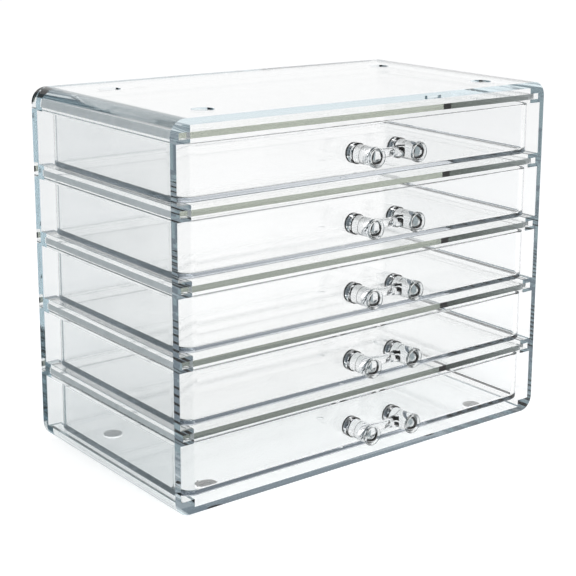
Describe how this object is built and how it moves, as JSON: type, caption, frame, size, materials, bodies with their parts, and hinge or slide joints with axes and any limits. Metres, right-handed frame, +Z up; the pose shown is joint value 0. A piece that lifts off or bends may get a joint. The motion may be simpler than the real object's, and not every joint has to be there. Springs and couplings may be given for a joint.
{
  "type": "clear drawer organizer",
  "caption": "Clear acrylic tabletop organizer for make-up, with shallow sliding drawers and two-post pulls.",
  "frame": {"origin": "on the surface that the feet rest on, under the middle of the case and its handles", "axes": "+Z up, -Y to the front where the drawers slide out, +X to the right seen from the front"},
  "size_m": [0.24, 0.1474, 0.1901],
  "materials": {
    "clear_case": "clear polished acrylic",
    "clear_shelf": "clear polished acrylic, grey-green at its edges",
    "clear_drawer": "clear polished acrylic",
    "clear_handle": "clear polished acrylic",
    "clear_foot": "clear soft plastic"
  },
  "bodies": {
    "case": {"case_shell": "clear_case", "shelf_1": "clear_shelf", "shelf_2": "clear_shelf", "shelf_3": "clear_shelf", "shelf_4": "clear_shelf", "shelf_5": "clear_shelf", "foot_1": "clear_foot", "foot_2": "clear_foot", "foot_3": "clear_foot", "foot_4": "clear_foot"},
    "tray_1": {"drawer_1": "clear_drawer", "handle_1": "clear_handle"},
    "tray_2": {"drawer_2": "clear_drawer", "handle_2": "clear_handle"},
    "tray_3": {"drawer_3": "clear_drawer", "handle_3": "clear_handle"},
    "tray_4": {"drawer_4": "clear_drawer", "handle_4": "clear_handle"},
    "tray_5": {"drawer_5": "clear_drawer", "handle_5": "clear_handle"}
  },
  "joints": [
    {"name": "drawer_1_slide", "type": "slide", "parent": "case", "child": "tray_1", "axis": [0, -1, 0], "range_m": [0, 0.1]},
    {"name": "drawer_2_slide", "type": "slide", "parent": "case", "child": "tray_2", "axis": [0, -1, 0], "range_m": [0, 0.1]},
    {"name": "drawer_3_slide", "type": "slide", "parent": "case", "child": "tray_3", "axis": [0, -1, 0], "range_m": [0, 0.1]},
    {"name": "drawer_4_slide", "type": "slide", "parent": "case", "child": "tray_4", "axis": [0, -1, 0], "range_m": [0, 0.1]},
    {"name": "drawer_5_slide", "type": "slide", "parent": "case", "child": "tray_5", "axis": [0, -1, 0], "range_m": [0, 0.1]}
  ]
}
